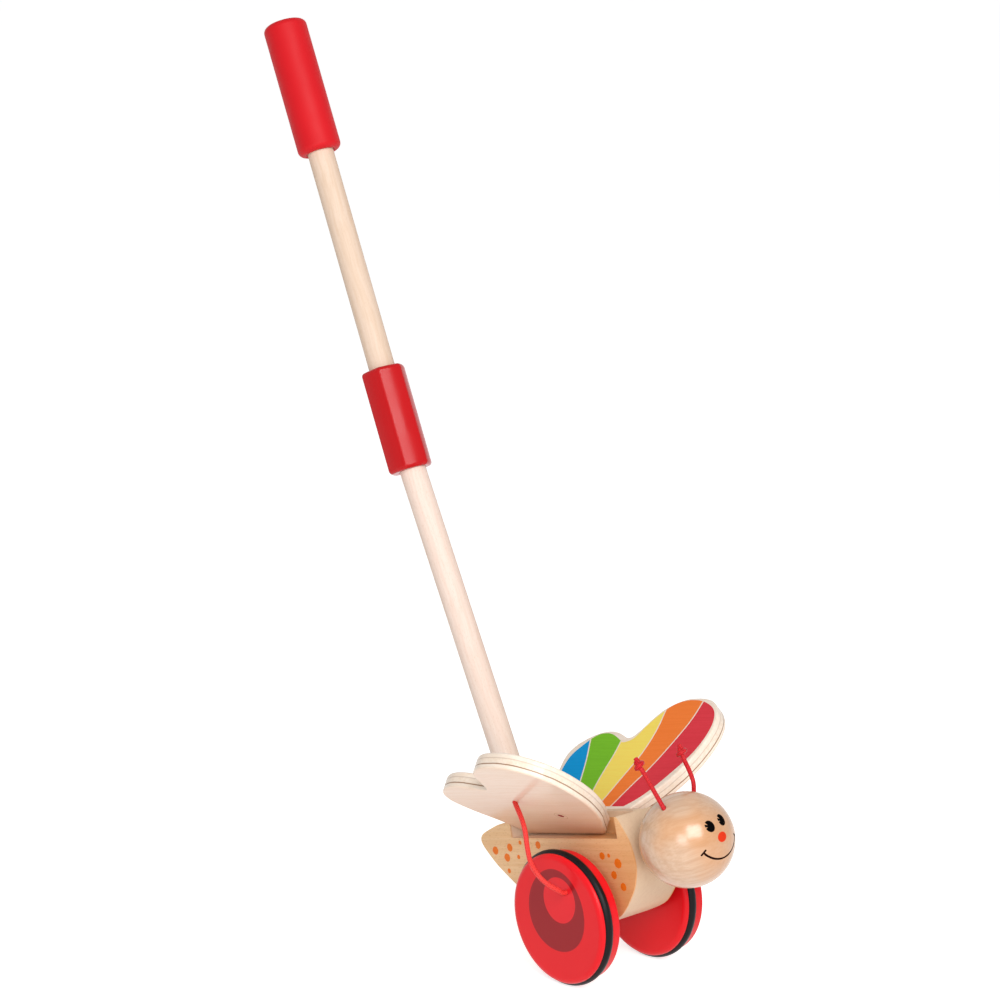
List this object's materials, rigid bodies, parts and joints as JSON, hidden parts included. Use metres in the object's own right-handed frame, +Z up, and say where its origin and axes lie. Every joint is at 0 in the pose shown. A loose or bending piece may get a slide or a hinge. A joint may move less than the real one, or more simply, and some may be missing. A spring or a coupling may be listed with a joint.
{
  "type": "toddler push toy",
  "caption": "Wooden butterfly push toy: ball head with cord feelers, body on red wheels with rubber rings, rainbow-striped wings flapped by cords, and a long dowel handle with a red grip.",
  "frame": {"origin": "on the floor, straight under the middle of the wheel axle", "axes": "+X is the way the toy's nose points, +Y its left side, +Z up. At rest the handle is held, so the body is tipped nose-up by 14.1 degrees, as in the picture."},
  "size_m": [0.3659, 0.1594, 0.4954],
  "materials": {
    "varnished_beech": "satin clear varnish on solid hardwood",
    "varnished_maple": "glossy clear varnish on turned hardwood",
    "birch_plywood": "sanded and clear-varnished plywood, printed on its upper face",
    "pale_dowel": "pale sanded dowel, lightly sealed",
    "red_lacquer": "red lacquer on turned wood",
    "black_rubber": "black rubber ring",
    "red_plastic": "glossy red moulding",
    "red_grip_paint": "matte red paint on turned wood",
    "red_cord": "smooth red elastic cord",
    "axle_steel": "plain steel",
    "white_nylon": "plain nylon"
  },
  "bodies": {
    "toy_body": {"body_block": "varnished_beech", "head_ball": "varnished_maple", "head_dowel": "pale_dowel", "antenna_left": "red_cord", "antenna_right": "red_cord", "lower_rod": "pale_dowel", "upper_rod": "pale_dowel", "coupling_sleeve": "red_plastic", "grip": "red_grip_paint", "wing_tie_cord": "red_cord"},
    "wheelset": {"axle": "axle_steel", "axle_spacer_left": "white_nylon", "axle_spacer_right": "white_nylon", "wheel_left": "red_lacquer", "wheel_right": "red_lacquer", "tyre_left": "black_rubber", "tyre_right": "black_rubber", "cord_knot_left": "red_cord", "cord_knot_right": "red_cord"},
    "right_wing": {"wing_right": "birch_plywood", "tie_knot_right": "red_cord", "drive_cord_right": "red_cord"},
    "left_wing": {"wing_left": "birch_plywood", "tie_knot_left": "red_cord", "drive_cord_left": "red_cord"}
  },
  "joints": [
    {"name": "wheel_spin", "type": "hinge", "parent": "toy_body", "child": "wheelset", "pos_m": [0, 0, 0.0367], "axis": [0, 1, 0], "continuous": true, "deforming": ["drive_cord_left", "drive_cord_right"]},
    {"name": "wing_flap_right", "type": "hinge", "parent": "toy_body", "child": "right_wing", "pos_m": [-0.00957, -0.008, 0.07482], "axis": [-0.9699, 0, -0.2436], "range_deg": [-34.5, 1.5], "deforming": ["drive_cord_right", "wing_tie_cord"]},
    {"name": "wing_flap_left", "type": "hinge", "parent": "toy_body", "child": "left_wing", "pos_m": [-0.00957, 0.008, 0.07482], "axis": [0.9699, 0, 0.2436], "range_deg": [-34.5, 1.5], "deforming": ["drive_cord_left", "wing_tie_cord"]}
  ],
  "couplings": [
    {"joint": "wing_flap_left", "follows": "wing_flap_right", "ratio": 1}
  ]
}
